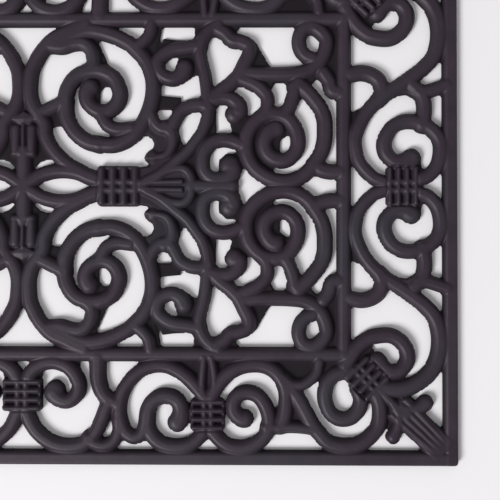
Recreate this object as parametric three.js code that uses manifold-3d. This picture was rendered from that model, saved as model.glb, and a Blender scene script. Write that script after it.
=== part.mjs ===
// A rubber door mat moulded as an open grille of wrought-iron scrollwork.
// The mat lies on the floor at z = 0, its length runs along X and its width along Y.
import * as THREE from 'three';
import { mergeVertices } from 'three/addons/utils/BufferGeometryUtils.js';
import Module from 'manifold-3d';

// Overall sizes, in millimetres
const matLength = 700;
const matWidth = 448;
const matThickness = 8;

// The border, from the outer edge to the middle line of the inner frame
const sideBorderWidth = 90.9;
const frontBorderWidth = 89.4;

// Widths of the bars and strands, at the floor
const rimWidth = 11;
const frameWidth = 10.2;
const strandWidth = 12;
const slimStrandWidth = 10.4;
const linkWidth = 9.6;
const lobeWidth = 11.6;
const budWidth = 13.6;
const budEndWidth = 9;
const budLobeWidth = 16;
const leafStartWidth = 17;
const leafEndWidth = 31;

// Heights of the low parts
const webThickness = 3;

// A strand is narrower on top, and a ribbed piece has grooves between its ribs
const crownShare = 0.56;
const ribCrownShare = 0.4;
const grooveShare = 0.45;
const collarRibs = 4;
const budRibs = 2;

// A free end is blunt, after a stretch where the strand swells a little: shares of half the width
const tipShare = 0.7;
const swellShare = 1.12;
const swellReachShare = 2.4;
const clearOfTipShare = 1.2;

// Fit
const pieceGap = 0.3;
const cutOverrun = 1;

// Rubber
const rubberColour = 0x3b373a;
const rubberRoughness = 0.62;

// A curve becomes straight steps with no more than this sag, half inside it and half outside,
// and no more than this turn, in runs of about this turn
const curveTolerance = 1.6;
const stepTurn = THREE.MathUtils.degToRad(52);
const runTurn = THREE.MathUtils.degToRad(160);
const fineSteps = 12;
const outwardShare = 1 / 8;
const tightBendShare = 0.92;
const webSpreadShare = 1.6;

// The drawing is one quarter of the mat, the front right one, on a grid of squares.
// Places in the tables are shares: counts of squares from the middle of the mat,
// first along the length and then towards the front.
const frameAlongShare = 322;
const rimAlongShare = 435;
const frameAcrossShare = 167;
const rimAcrossShare = 277.5;

// The cross in the middle of the field
const postShares = [[0, -34], [0, 34]];
const lensShares = [[2, 1], [9, 6], [18, 11], [28, 14], [40, 15], [54, 13], [66, 8], [79, 4]];
const fingerShares = [[6.5, 30], [6.5, 61]];
const diamondShares = [[0, 56], [12, 64], [0, 80], [-12, 64]];

// The long arm beside it, with its hook
const armShares = [[78, 6], [66, 11], [56, 16], [45, 22], [35, 31], [27, 41], [22, 52], [21, 61],
  [16, 70], [10, 79], [7, 91], [7, 104], [9, 114], [14, 123], [18, 131], [25, 139], [32, 146],
  [41, 152], [51, 157], [62, 162]];
const hookShares = [[28, 137], [38, 138], [48, 141], [58, 142], [65, 138], [69, 130], [69, 122], [65, 116]];
const armBridgeShares = [[18, 70], [26, 76], [34, 80], [42, 84]];

// The whorl and the loop round it
const whorlShares = [[76, 41], [65, 44], [55, 50], [48, 58], [43, 68], [42, 79], [43, 90], [47, 101],
  [55, 109], [66, 114], [78, 114], [90, 109], [95, 101], [98, 91], [95, 81], [88, 75], [79, 73],
  [70, 76], [64, 83], [63, 92], [67, 99], [75, 101]];
const whorlBridgeShares = [[78, 70], [84, 60], [94, 56], [108, 57]];
const loopShares = [[76, 41], [90, 41], [102, 45], [112, 52], [121, 63], [128, 79], [131, 94],
  [130, 109], [124, 124], [115, 135], [106, 143], [93, 150], [78, 155], [64, 156], [52, 152],
  [42, 147], [32, 144]];
const archShares = [[114, 140], [121, 146], [126, 153], [128, 163]];
const archWebShares = [[122, 134], [132, 132], [136, 146], [139, 162], [128, 164]];

// The stem behind the bud, with its curls
const stemShares = [[116, 1], [130, 7], [142, 15], [153, 24], [164, 33], [173, 44], [181, 56],
  [185, 70], [185, 84], [184, 98], [182, 112], [179, 124], [177, 136], [180, 148], [187, 157],
  [196, 162]];
const nubCurlShares = [[122, 23], [134, 25], [144, 31], [149, 42], [149, 52], [143, 58]];
const swanShares = [[127, 72], [132, 62], [140, 56], [148, 58], [153, 66], [158, 74], [167, 78],
  [178, 79], [185, 76]];
const stemRingShares = [[177, 141], [164, 139], [151, 137], [141, 132], [135, 125], [136, 115],
  [142, 109], [150, 107], [158, 111], [162, 118], [161, 127]];
const leftRingShares = [[218, 40], [209, 43], [199, 44], [189, 41], [182, 34], [180, 24], [182, 14],
  [189, 8], [199, 7], [207, 10], [211, 17], [209, 25]];
const smallCurlShares = [[190, 86], [200, 87], [210, 85], [218, 79], [221, 70], [215, 64], [207, 66],
  [203, 73]];
const fallShares = [[190, 87], [200, 96], [209, 103], [217, 112], [222, 122], [227, 133], [226, 141],
  [218, 145], [209, 147], [202, 154], [192, 160]];

// The spiral and the tail below it
const spiralShares = [[276, 101], [284, 94], [292, 85], [299, 76], [303, 66], [304, 55], [304, 45],
  [301, 34], [295, 24], [287, 14], [276, 7], [265, 4], [253, 5], [241, 10], [231, 18], [225, 28],
  [223, 40], [225, 52], [231, 62], [241, 69], [254, 71], [266, 67], [274, 58], [278, 47], [277, 36],
  [270, 28], [261, 24], [250, 26], [243, 33], [241, 43], [245, 52], [254, 57], [263, 56]];
const spiralLegShares = [[262, 70], [267, 78], [271, 88], [273, 99]];
const tieShares = [[241, 69], [245, 78], [245, 88], [238, 97], [228, 103], [218, 107]];
const tailShares = [[222, 113], [240, 111], [253, 111], [268, 112], [281, 113], [291, 118],
  [299, 125], [304, 135], [305, 146], [299, 155], [290, 160], [281, 157], [277, 148], [278, 139],
  [284, 132]];
const tailTieShares = [[316, 95], [310, 97], [308, 106], [302, 114]];
const shoulderShares = [[292, 19], [300, 13], [310, 11], [318, 11]];
const spiralWebsShares = [
  [[241, 94], [250, 98], [253, 104], [262, 104], [266, 96], [286, 98], [300, 112], [240, 116]],
  [[302, 114], [318, 106], [318, 163], [304, 163]],
  [[228, 118], [250, 116], [242, 130], [234, 144], [226, 136]],
];

// The border along the front
const middleRingShares = [[5, 196], [7, 188], [13, 181], [22, 177], [33, 176], [45, 180], [54, 188],
  [58, 199], [55, 208], [47, 214], [35, 213], [27, 208], [26, 202], [31, 196]];
const bowlShares = [[5, 225], [9, 234], [15, 243], [24, 252], [35, 258], [48, 260], [61, 257],
  [72, 247], [79, 234], [84, 221], [88, 213]];
const dropShares = [[77, 172], [77, 182], [77, 191], [79, 201], [84, 209], [93, 215]];
const eyeShares = [[97, 232], [97, 244], [92, 254], [83, 258], [73, 256], [66, 250]];
const outerArchShares = [[184, 211], [176, 201], [167, 191], [156, 183], [144, 179], [131, 179],
  [119, 184], [109, 193], [102, 204], [98, 218], [99, 232], [104, 243], [112, 248], [120, 245],
  [124, 236], [126, 224]];
const quarterRingShares = [[181, 245], [175, 252], [165, 258], [153, 260], [141, 257], [131, 249],
  [126, 238], [126, 225], [130, 215], [139, 210], [149, 210], [157, 216], [160, 226], [158, 236],
  [149, 242]];
const archBarWebShares = [[114, 172], [178, 172], [178, 196], [160, 184], [124, 184]];
const rightRingShares = [[191, 245], [197, 252], [207, 259], [219, 261], [231, 258], [241, 251],
  [246, 241], [246, 230], [242, 218], [235, 209], [225, 206], [216, 209], [211, 217], [212, 226],
  [219, 233], [228, 232]];
const innerArchShares = [[188, 212], [195, 201], [203, 191], [214, 183], [227, 179], [241, 179],
  [254, 184], [264, 193], [268, 205], [268, 218], [264, 231], [258, 240]];
const crossbarShares = [[244, 240], [258, 240], [273, 240], [290, 242]];
const saddleShares = [[262, 192], [270, 197], [280, 198], [289, 193], [295, 185], [297, 175]];
const cornerBowlShares = [[262, 194], [270, 204], [277, 215], [283, 226], [289, 237], [296, 246],
  [305, 255], [317, 259], [329, 259], [340, 256], [349, 249], [356, 239], [358, 228], [357, 216],
  [353, 207], [345, 199]];
const ringWebsShares = [
  [[246, 222], [262, 222], [272, 208], [290, 240], [286, 246], [250, 246]],
  [[198, 172], [299, 172], [296, 186], [286, 196], [270, 196], [256, 186], [206, 184]],
];

// The border along the side
const sideRingShares = [[396, 7], [405, 12], [412, 21], [416, 33], [415, 45], [409, 55], [398, 62],
  [386, 64], [375, 61], [367, 53], [363, 42], [365, 32], [372, 25], [382, 24], [391, 28], [399, 26]];
const sideLinkShares = [[401, 60], [404, 70], [404, 82], [400, 93], [390, 106]];
const sideTieShares = [[394, 94], [405, 94], [414, 97], [425, 101]];
const sideSweepShares = [[361, 4], [352, 7], [343, 14], [336, 23], [333, 34], [332, 46], [336, 59],
  [342, 70], [350, 80], [359, 88], [369, 95], [380, 102], [391, 110], [403, 120], [412, 132],
  [417, 146], [418, 160], [415, 174], [408, 186], [397, 195], [383, 201], [369, 202], [357, 200]];
const sideCurlShares = [[357, 85], [360, 95], [357, 105], [349, 111], [339, 113], [328, 111]];

// The corner, with its leaf
const cornerRingShares = [[333, 190], [335, 202], [339, 213], [336, 224], [328, 231], [318, 232],
  [309, 227], [304, 217], [303, 206], [306, 196], [314, 188], [324, 186], [334, 187]];
const cornerScrollShares = [[323, 180], [330, 168], [337, 159], [346, 152], [357, 149], [369, 149],
  [379, 155], [385, 165], [385, 175], [379, 183], [370, 185], [361, 181], [356, 174], [351, 167]];
const leafShares = [[359, 204], [432, 274]];
const leafFrontLobeShares = [[362, 210], [373, 225], [377, 241], [367, 254]];
const leafSideLobeShares = [[368, 204], [384, 215], [399, 219], [409, 208]];

// Collars: the middle of each, the pitch of its ribs and how far they reach
const fieldCollarShares = { middle: [96, 0], pitch: 11.5, reach: 20 };
const middleCollarShares = { middle: [0, 210], pitch: 9, reach: 20 };
const quarterCollarShares = { middle: [186, 228], pitch: 8.7, reach: 17 };
const sideCollarShares = { middle: [381, 0], pitch: 8.4, reach: 20 };
const cornerCollarShares = { middle: [345, 191], pitch: 8.8, reach: 17 };

// The bud behind the collar in the field, and the palmette above the collar in the border
const budShares = [[106, 0], [178, 0]];
const budLobeShares = [[120, 4], [140, 9], [154, 12], [164, 12], [169, 6], [169, 0]];
const budBarShares = [[168, 0], [219, 0]];
const palmetteLeftShares = [[184, 218], [182, 204], [182, 190], [183, 174]];
const palmetteRightShares = [[189, 218], [192, 204], [194, 190], [191, 174]];

const halfLength = matLength / 2;
const halfWidth = matWidth / 2;
const fieldLength = halfLength - sideBorderWidth;
const fieldWidth = halfWidth - frontBorderWidth;
const rimX = halfLength - rimWidth / 2;
const rimY = halfWidth - rimWidth / 2;
const frameEnd = fieldLength + frameWidth / 2;

const whole = [[1, 1]];
const leftAndRight = [[1, 1], [-1, 1]];
const frontAndBack = [[1, 1], [1, -1]];
const allQuarters = [[1, 1], [-1, 1], [1, -1], [-1, -1]];
const alongLength = [1, 0];
const acrossWidth = [0, 1];
const diagonal = [Math.SQRT1_2, Math.SQRT1_2];

// Cross-sections: the place across and the height, as shares of half the width and the thickness
const plainSection = [[-1, 0], [1, 0], [crownShare, 1], [-crownShare, 1]];
const roomSection = [[-1, 0], [1, 0], [1, 1], [-1, 1]];

function ribbedSection(count) {
  const pitch = 2 / count;
  const ribs = Array.from({ length: count }, (_, i) => 1 - (i + 0.5) * pitch);
  return [
    [-1, 0],
    [1, 0],
    [1, grooveShare],
    ...ribs.flatMap((middle) => [
      [middle + (ribCrownShare * pitch) / 2, 1],
      [middle - (ribCrownShare * pitch) / 2, 1],
      [middle - pitch / 2, grooveShare],
    ]),
  ];
}

const wasm = await Module();
wasm.setup();

function toSolid(geometry) {
  geometry.deleteAttribute('normal');
  geometry.deleteAttribute('uv');
  const merged = mergeVertices(geometry);
  return new wasm.Manifold(new wasm.Mesh({
    numProp: 3,
    vertProperties: new Float32Array(merged.attributes.position.array),
    triVerts: new Uint32Array(merged.index.array),
  }));
}

function join(solids) {
  return solids.reduce((sum, solid) => sum.add(solid));
}

function largestBody(solid) {
  return solid.decompose().reduce((best, body) => (body.volume() > best.volume() ? body : best));
}

function distanceToChord(point, from, to) {
  const chord = to.clone().sub(from);
  return Math.abs(chord.cross(point.clone().sub(from))) / chord.length();
}

function turnBetween(before, after) {
  return Math.abs(Math.atan2(before.cross(after), before.dot(after)));
}

// A step's corner moves out of the bend until the steps lie half inside the curve
function pushOut(point, before, after) {
  const chord = after.clone().sub(before).normalize();
  const offChord = point.clone().sub(before);
  offChord.addScaledVector(chord, -offChord.dot(chord));
  return point.clone().addScaledVector(offChord, outwardShare);
}

// Points along a smooth curve through the given ones, as few as the tolerance allows
function stations(points) {
  if (points.length === 2) {
    return points;
  }
  const curve = new THREE.CatmullRomCurve3(
    points.map((point) => new THREE.Vector3(point.x, point.y, 0)),
    false,
    'centripetal',
  );
  const fine = curve
    .getPoints(points.length * fineSteps)
    .map((point) => new THREE.Vector2(point.x, point.y));
  const ways = fine.slice(1).map((point, i) => point.clone().sub(fine[i]));
  const kept = [fine[0]];
  let start = 0;
  for (let i = 2; i < fine.length; i += 1) {
    const between = fine.slice(start + 1, i);
    const sags = between.some((point) => distanceToChord(point, fine[start], fine[i]) > curveTolerance);
    if (sags || turnBetween(ways[start], ways[i - 1]) > stepTurn) {
      start = i - 1;
      kept.push(fine[start]);
    }
  }
  kept.push(fine[fine.length - 1]);
  return kept.map((point, i) => (
    i > 0 && i < kept.length - 1 ? pushOut(point, kept[i - 1], kept[i + 1]) : point
  ));
}

// A free end swells and then narrows to a blunt tip
function roundEnd(rows, half) {
  const tip = rows[0].point;
  const rest = rows
    .slice(1)
    .filter(({ point }) => point.distanceTo(tip) > half * clearOfTipShare)
    .map((row) => ({
      point: row.point,
      half: row.point.distanceTo(tip) < half * swellReachShare ? half * swellShare : row.half,
    }));
  return [{ point: tip, half: half * tipShare }, ...rest];
}

// How far the strand reaches to each side at each station
function edges(rows) {
  return rows.map(({ point, half }, i) => {
    const before = i > 0 ? point.clone().sub(rows[i - 1].point) : null;
    const after = i < rows.length - 1 ? rows[i + 1].point.clone().sub(point) : null;
    const inWay = (before ?? after).clone().normalize();
    const outWay = (after ?? before).clone().normalize();
    const way = inWay.clone().add(outWay).normalize();
    const turn = Math.atan2(inWay.cross(outWay), inWay.dot(outWay));
    const step = Math.min(before?.length() ?? Infinity, after?.length() ?? Infinity);
    const bendRadius = turn === 0 ? Infinity : step / (2 * Math.sin(Math.abs(turn) / 2));
    // Inside a tight bend the edge stops short of the middle of the bend
    const outer = half / Math.cos(turn / 2);
    const inner = Math.min(outer, bendRadius * tightBendShare);
    return {
      point,
      left: new THREE.Vector2(-way.y, way.x),
      toLeft: turn > 0 ? inner : outer,
      toRight: turn > 0 ? outer : inner,
      turn: Math.abs(turn),
    };
  });
}

// One run of a strand: a cross-section carried from station to station
function sweepRun(run, section, bottom, top) {
  const corners = section.length;
  const positions = run.flatMap(({ point, left, toLeft, toRight }) => section.flatMap(([side, height]) => {
    const reach = side * (side > 0 ? toLeft : toRight);
    return [point.x + left.x * reach, point.y + left.y * reach, bottom + height * (top - bottom)];
  }));
  const index = [];
  for (let i = 0; i < run.length - 1; i += 1) {
    for (let k = 0; k < corners; k += 1) {
      const a = i * corners + k;
      const b = i * corners + ((k + 1) % corners);
      index.push(a, b, b + corners, a, b + corners, a + corners);
    }
  }
  const last = (run.length - 1) * corners;
  const outline = section.map(([side, height]) => new THREE.Vector2(side, height));
  for (const [a, b, c] of THREE.ShapeUtils.triangulateShape(outline, [])) {
    index.push(a, c, b, last + a, last + b, last + c);
  }
  const geometry = new THREE.BufferGeometry();
  geometry.setAttribute('position', new THREE.BufferAttribute(new Float32Array(positions), 3));
  geometry.setIndex(index);
  return toSolid(geometry);
}

// A strand is swept in runs of limited turn, so that no run crosses itself.
// With a gap to keep, it becomes the upright cutter that makes room for the strand.
function sweepStrand(strand, gap) {
  const {
    path,
    width = strandWidth,
    endWidth = width,
    section = plainSection,
    ends = '',
  } = strand;
  const places = stations(path);
  const widen = (endWidth - width) / (places.length - 1);
  let rows = places.map((point, i) => ({ point, half: (width + widen * i) / 2 + gap }));
  if (ends.includes('start')) {
    rows = roundEnd(rows, width / 2 + gap);
  }
  if (ends.includes('end')) {
    rows = roundEnd(rows.reverse(), width / 2 + gap).reverse();
  }
  const [shape, bottom, top] = gap > 0
    ? [roomSection, -cutOverrun, matThickness + cutOverrun]
    : [section, 0, matThickness];
  const edged = edges(rows);
  const runs = [];
  let start = 0;
  let turned = 0;
  edged.forEach((row, i) => {
    turned += row.turn;
    if (i > start && (turned >= runTurn || i === edged.length - 1)) {
      runs.push(sweepRun(edged.slice(start, i + 1), shape, bottom, top));
      start = i;
      turned = 0;
    }
  });
  return join(runs);
}

// A low web is an extruded outline; its cutter is a little larger all round
function extrudeWeb(outline, gap) {
  const middle = outline
    .reduce((sum, corner) => sum.add(corner), new THREE.Vector2())
    .divideScalar(outline.length);
  const corners = outline.map((corner) => {
    const away = corner.clone().sub(middle);
    return middle.clone().addScaledVector(away, 1 + (webSpreadShare * gap) / away.length());
  });
  const depth = gap > 0 ? matThickness + 2 * cutOverrun : webThickness;
  const geometry = new THREE.ExtrudeGeometry(new THREE.Shape(corners), { depth, bevelEnabled: false });
  geometry.translate(0, 0, gap > 0 ? -cutOverrun : 0);
  return toSolid(geometry);
}

function mirror(points, [side, front]) {
  return points.map((point) => new THREE.Vector2(point.x * side, point.y * front));
}

function build({ strands, webs = [] }, quarter, gap = 0) {
  return join([
    ...strands.map((one) => sweepStrand({ ...one, path: mirror(one.path, quarter) }, gap)),
    ...webs.map((web) => extrudeWeb(mirror(web, quarter), gap)),
  ]);
}

// Squares of the drawing become millimetres: one scale in the field and one in the border
function placeOne(share, frameShare, rimShare, field, border) {
  const size = Math.abs(share);
  const inner = (Math.min(size, frameShare) / frameShare) * field;
  const outer = (Math.max(size - frameShare, 0) / (rimShare - frameShare)) * border;
  return Math.sign(share) * (inner + outer);
}

function drawn(shares) {
  return shares.map(([along, across]) => new THREE.Vector2(
    placeOne(along, frameAlongShare, rimAlongShare, fieldLength, sideBorderWidth),
    -placeOne(across, frameAcrossShare, rimAcrossShare, fieldWidth, frontBorderWidth),
  ));
}

function strand(shares, options = {}) {
  return { path: drawn(shares), ...options };
}

function freeStrand(shares, options = {}) {
  return strand(shares, { ends: 'end', ...options });
}

function mirrorStrands(strands, quarters) {
  return quarters.flatMap((quarter) => strands.map((one) => ({ ...one, path: mirror(one.path, quarter) })));
}

// A straight bar between two places in millimetres
function bar(from, to, width) {
  return { path: [new THREE.Vector2(...from), new THREE.Vector2(...to)], width };
}

// A collar is one ribbed strand across the strands that it gathers
function collar({ middle: [along, across], pitch, reach }, [alongWay, acrossWay]) {
  const tips = [-reach, reach].map((aside) => [along - acrossWay * aside, across + alongWay * aside]);
  const beside = [-1, 1].map((side) => [
    along + (alongWay * side * pitch * collarRibs) / 2,
    across + (acrossWay * side * pitch * collarRibs) / 2,
  ]);
  const [from, to] = drawn(beside);
  return strand(tips, { width: from.distanceTo(to), section: ribbedSection(collarRibs) });
}

function rims() {
  return [
    {
      name: 'rim',
      copies: frontAndBack,
      strands: [bar([-halfLength, -rimY], [halfLength, -rimY], rimWidth)],
    },
    {
      name: 'rim',
      copies: leftAndRight,
      strands: [bar([rimX, -halfWidth], [rimX, halfWidth], rimWidth)],
    },
  ];
}

function innerFrame() {
  return [
    {
      name: 'frame',
      copies: frontAndBack,
      strands: [bar([-frameEnd, -fieldWidth], [frameEnd, -fieldWidth], frameWidth)],
    },
    {
      name: 'frame',
      copies: leftAndRight,
      strands: [bar([fieldLength, -fieldWidth], [fieldLength, fieldWidth], frameWidth)],
    },
  ];
}

function centreCross() {
  const quarter = [
    strand(lensShares),
    freeStrand(fingerShares, { width: linkWidth }),
  ];
  return {
    name: 'centre_cross',
    copies: whole,
    strands: [strand(postShares), ...mirrorStrands(quarter, allQuarters)],
    webs: frontAndBack.map((side) => mirror(drawn(diamondShares), side)),
  };
}

// The collars on the axes of the mat, each with what it gathers on its two sides
function axisCollars() {
  const bud = strand(budShares, {
    width: budWidth,
    endWidth: budEndWidth,
    section: ribbedSection(budRibs),
  });
  return [
    {
      name: 'bud_collar',
      copies: leftAndRight,
      strands: [
        collar(fieldCollarShares, alongLength),
        bud,
        strand(budBarShares),
        ...mirrorStrands([strand(budLobeShares, { width: budLobeWidth })], frontAndBack),
      ],
    },
    {
      name: 'middle_collar',
      copies: frontAndBack,
      strands: [
        collar(middleCollarShares, acrossWidth),
        ...mirrorStrands([freeStrand(middleRingShares)], leftAndRight),
      ],
    },
    {
      name: 'side_collar',
      copies: leftAndRight,
      strands: [
        collar(sideCollarShares, alongLength),
        ...mirrorStrands([freeStrand(sideRingShares)], frontAndBack),
      ],
    },
  ];
}

// An element that stays inside its quarter of the mat, and has a copy in each
function inQuarters(name, strands, websShares = []) {
  return { name, copies: allQuarters, strands, webs: websShares.map(drawn) };
}

function quarterCollars() {
  return [
    inQuarters('palmette_collar', [
      collar(quarterCollarShares, acrossWidth),
      strand(palmetteLeftShares, { width: linkWidth }),
      strand(palmetteRightShares, { width: linkWidth }),
    ]),
    inQuarters('corner_collar', [collar(cornerCollarShares, diagonal), strand(cornerRingShares)]),
    inQuarters('leaf', [
      strand(leafShares, {
        width: leafStartWidth,
        endWidth: leafEndWidth,
        section: ribbedSection(collarRibs),
      }),
      freeStrand(leafFrontLobeShares, { width: lobeWidth }),
      freeStrand(leafSideLobeShares, { width: lobeWidth }),
    ]),
  ];
}

function fieldScrolls() {
  return [
    inQuarters('field_arm', [strand(armShares), strand(hookShares), strand(armBridgeShares)]),
    inQuarters(
      'field_whorl',
      [
        freeStrand(whorlShares),
        strand(whorlBridgeShares),
        strand(loopShares),
        strand(archShares, { width: linkWidth }),
      ],
      [archWebShares],
    ),
    inQuarters(
      'field_spiral',
      [
        freeStrand(spiralShares),
        strand(spiralLegShares),
        freeStrand(tailShares),
        strand(tailTieShares),
        strand(shoulderShares),
        strand(tieShares),
      ],
      spiralWebsShares,
    ),
    inQuarters('field_stem', [
      strand(stemShares, { width: slimStrandWidth }),
      strand(nubCurlShares),
      strand(swanShares, { width: slimStrandWidth }),
      freeStrand(stemRingShares),
      freeStrand(leftRingShares),
      freeStrand(smallCurlShares),
      strand(fallShares),
    ]),
  ];
}

function borderScrolls() {
  return [
    inQuarters(
      'border_scroll',
      [
        strand(bowlShares),
        strand(dropShares),
        strand(eyeShares, { width: slimStrandWidth }),
        strand(outerArchShares),
        freeStrand(quarterRingShares),
      ],
      [archBarWebShares],
    ),
    inQuarters(
      'border_ring',
      [
        freeStrand(rightRingShares),
        strand(innerArchShares),
        strand(crossbarShares, { width: linkWidth }),
        strand(cornerBowlShares),
        strand(saddleShares, { width: linkWidth }),
      ],
      ringWebsShares,
    ),
    inQuarters('side_sweep', [
      strand(sideSweepShares),
      strand(sideCurlShares),
      strand(sideLinkShares, { width: linkWidth }),
      strand(sideTieShares, { width: linkWidth }),
    ]),
    inQuarters('corner_scroll', [freeStrand(cornerScrollShares)]),
  ];
}

// An element is cut to make room for the ones above it in this list
const elements = [
  ...rims(),
  ...innerFrame(),
  centreCross(),
  ...axisCollars(),
  ...quarterCollars(),
  ...fieldScrolls(),
  ...borderScrolls(),
];

function overlap(a, b) {
  return [0, 1, 2].every((axis) => a.min[axis] < b.max[axis] && b.min[axis] < a.max[axis]);
}

// Everything outside the front right quarter, and half a gap of the quarter itself
function otherQuarters() {
  const size = matLength;
  const along = new THREE.BoxGeometry(size, 2 * size, size).translate((pieceGap - size) / 2, 0, 0);
  const across = new THREE.BoxGeometry(2 * size, size, size).translate(0, (size - pieceGap) / 2, 0);
  return [toSolid(along), toSolid(across)];
}

function copyName(name, copies, [side, front]) {
  const alongWord = side > 0 ? 'right' : 'left';
  const acrossWord = front > 0 ? 'front' : 'back';
  const words = new Map([
    [whole, name],
    [leftAndRight, `${name}_${alongWord}`],
    [frontAndBack, `${name}_${acrossWord}`],
    [allQuarters, `${name}_${acrossWord}_${alongWord}`],
  ]);
  return words.get(copies);
}

function meshOf(solid, name, [side, front]) {
  const { vertProperties, triVerts } = solid.getMesh();
  const geometry = new THREE.BufferGeometry();
  geometry.setAttribute('position', new THREE.BufferAttribute(new Float32Array(vertProperties), 3));
  geometry.setIndex(Array.from(triVerts));
  geometry.scale(side, front, 1);
  if (side * front < 0) {
    geometry.index.array.reverse();
  }
  geometry.computeVertexNormals();
  const rubber = new THREE.MeshStandardMaterial({
    color: rubberColour,
    roughness: rubberRoughness,
    metalness: 0,
  });
  const mesh = new THREE.Mesh(geometry, rubber);
  mesh.name = name;
  return mesh;
}

const group = new THREE.Group();
const cutters = [];
const outside = otherQuarters();
for (const element of elements) {
  const built = build(element, [1, 1]);
  const walls = element.copies === allQuarters ? outside : [];
  const solid = largestBody([...cutters, ...walls]
    .filter((cutter) => overlap(cutter.boundingBox(), built.boundingBox()))
    .reduce((rest, cutter) => rest.subtract(cutter), built));
  for (const copy of element.copies) {
    group.add(meshOf(solid, copyName(element.name, element.copies, copy), copy));
    cutters.push(build(element, copy, pieceGap));
  }
}

export default group;
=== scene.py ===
"""The looks of the rubber door mat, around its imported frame.

The mat is one flat-backed moulding, so its top is worked out as one relief: for every point of a fine
grid, how far it lies inside the outline, and how high the rubber stands there. Each CAD node gets the
part of that relief which it owns, as a closed mesh of its own. Lengths are in millimetres until the
meshes are made.
"""

import math

import bpy
import numpy as np
from mathutils import Matrix, Vector
from mathutils.geometry import delaunay_2d_cdt


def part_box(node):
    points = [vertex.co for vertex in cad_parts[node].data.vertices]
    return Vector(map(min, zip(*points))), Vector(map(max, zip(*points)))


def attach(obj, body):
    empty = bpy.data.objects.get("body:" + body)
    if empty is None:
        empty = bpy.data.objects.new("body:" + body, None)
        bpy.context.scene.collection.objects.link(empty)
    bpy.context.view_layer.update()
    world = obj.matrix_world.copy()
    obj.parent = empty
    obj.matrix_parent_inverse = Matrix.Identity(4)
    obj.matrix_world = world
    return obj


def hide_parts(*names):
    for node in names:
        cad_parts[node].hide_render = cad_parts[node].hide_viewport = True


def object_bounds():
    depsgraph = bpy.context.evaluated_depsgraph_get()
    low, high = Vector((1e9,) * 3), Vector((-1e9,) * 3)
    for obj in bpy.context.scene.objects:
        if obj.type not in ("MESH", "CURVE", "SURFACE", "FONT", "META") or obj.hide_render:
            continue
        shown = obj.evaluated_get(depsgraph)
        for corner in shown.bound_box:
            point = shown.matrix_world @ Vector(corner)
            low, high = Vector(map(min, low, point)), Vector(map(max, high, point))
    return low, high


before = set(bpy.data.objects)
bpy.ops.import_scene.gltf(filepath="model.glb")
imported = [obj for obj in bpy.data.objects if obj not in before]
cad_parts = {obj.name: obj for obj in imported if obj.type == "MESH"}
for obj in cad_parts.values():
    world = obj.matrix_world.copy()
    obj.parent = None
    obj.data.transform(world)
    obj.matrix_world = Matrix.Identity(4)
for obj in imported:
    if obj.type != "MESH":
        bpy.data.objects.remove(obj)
cad_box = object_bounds()

MM = 0.001

# Sizes in millimetres, from the CAD nodes
rim_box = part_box("rim_right")
frame_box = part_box("frame_right")
bar_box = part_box("frame_front")
MAT_LENGTH = (cad_box[1].x - cad_box[0].x) / MM
MAT_WIDTH = (cad_box[1].y - cad_box[0].y) / MM
MAT_THICKNESS = (cad_box[1].z - cad_box[0].z) / MM
FIELD_LENGTH = (frame_box[0].x + frame_box[1].x) / 2 / MM
FIELD_WIDTH = -(bar_box[0].y + bar_box[1].y) / 2 / MM
SIDE_BORDER_WIDTH = MAT_LENGTH / 2 - FIELD_LENGTH
FRONT_BORDER_WIDTH = MAT_WIDTH / 2 - FIELD_WIDTH
# The feet of the bars reach a little past the CAD bars
RIM_FOOT = 0.4
FRAME_FOOT = 1.6
RIM_WIDTH = (rim_box[1].x - rim_box[0].x) / MM + RIM_FOOT
FRAME_WIDTH = (frame_box[1].x - frame_box[0].x) / MM + FRAME_FOOT
# How far inside the edge the rim's crown runs, its height, and where its flank starts
RIM_FLAT = 3.0
RIM_HEIGHT = 6.6
RIM_FLANK_START = 0.55
# Rounded corners of the mat and of the collars
CORNER_RADIUS = 2.0
COLLAR_CORNER = 3.4
# Each strand's half width is this much less than the widths listed below say
STRAND_TRIM = 0.25

# Where the inner frame and the outer edge lie in the squares of the drawing, and by how many
# squares the drawing bulges between the middle line and the frame
FRAME_ALONG = 322.0
RIM_ALONG = 435.0
FRAME_ACROSS = 167.0
RIM_ACROSS = 277.5
FIELD_BULGE = 1.4

# Cells of the grid over one quarter of the mat
GRID_X = 438
GRID_Y = 280

# Strands and bars: the height of the crown, the share of it that the flank loses down to the edge,
# the power by which it falls, and the share of the half width at which it starts to
CROWN_HEIGHT = 7.95
BAR_HEIGHT = 7.45
FLANK = 0.52
FLANK_POWER = 2.0
FLANK_START = 0.2
# The long bars of the frame lie this far outside the CAD ones, and all bars run past the middle lines
FRAME_OFFSET = 1.2
PAST_MIDDLE = 40

# The least height of webs and of the edge, how far in from an outline the rubber rises from the
# edge, and how much the outer edge of the mat is rounded off
WEB_HEIGHT = 2.6
EDGE_HEIGHT = 2.0
EDGE_REACH = 1.4
EDGE_DROP = 1.2

# How softly two forms run into each other, in plan and in height
PLAN_BLEND = 2.8
HEIGHT_BLEND = 1.1

# The height of a round knob; then, for the swelling at a free end, its half width and reach in half
# widths of the strand, and how far before its middle the strand's own points end
KNOB_HEIGHT = 7.3
KNOB_SHARE = 1.2
KNOB_REACH = 2.6
KNOB_CLEAR = 0.2

# Leaf and bud have a height up to this far outside their outlines, and FAR stands for none
FORM_OVERHANG = -1.0
FAR = -99.0
# How far around its points in the drawing a form is worked out
LEAF_MARGIN = 18
BUD_MARGIN = 10
DIAMOND_MARGIN = 14

# Collars, in pitches of the ribs: half the length, the last rib and half a rib
COLLAR_END = 1.9
COLLAR_LAST_RIB = 1.5
RIB_HALF = 0.43
# In half breadths: where a rib starts to fall and over what span, the gathered strands and the bars
RIB_FALL_START = 0.8
RIB_FALL_SPAN = 0.2
GATHERED_OFFSET = 0.2
COLLAR_BAR_PLACE = 0.9
COLLAR_BAR_HALF = 0.15
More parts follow.
